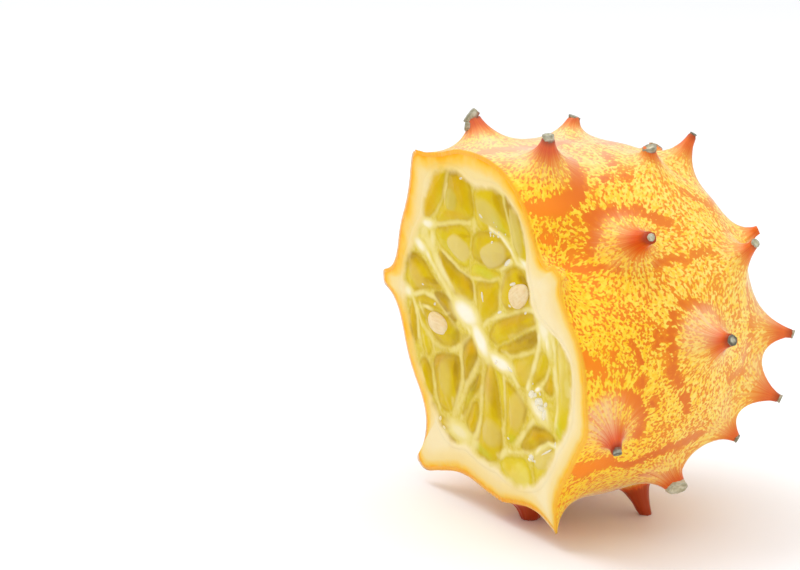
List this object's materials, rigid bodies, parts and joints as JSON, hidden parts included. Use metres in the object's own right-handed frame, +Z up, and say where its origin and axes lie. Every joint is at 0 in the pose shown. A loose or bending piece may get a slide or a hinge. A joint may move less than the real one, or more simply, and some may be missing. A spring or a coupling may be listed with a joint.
{
  "type": "horned melon half",
  "caption": "Half of a horned melon, cut across: an oval orange rind drawn out into blunt horns, with green juice sacs and pale seeds in the cut face.",
  "frame": {"origin": "on the surface that the fruit rests on, under the middle of its bounding box", "axes": "+Z up, +Y along the fruit from the cut face to the blossom end, +X to the right of a person who looks at the cut face"},
  "size_m": [0.0826, 0.0615, 0.0811],
  "materials": {
    "rind": "waxy satin orange rind with fine yellow speckles",
    "horn_tip": "dry grey-green scar at the end of a horn",
    "pith": "moist cream flesh, orange-yellow next to the rind",
    "pulp": "wet translucent yellow-green jelly",
    "seed": "smooth pale cream seed coat, wet"
  },
  "bodies": {
    "root": {"horned_melon_half": "rind"}
  },
  "joints": []
}
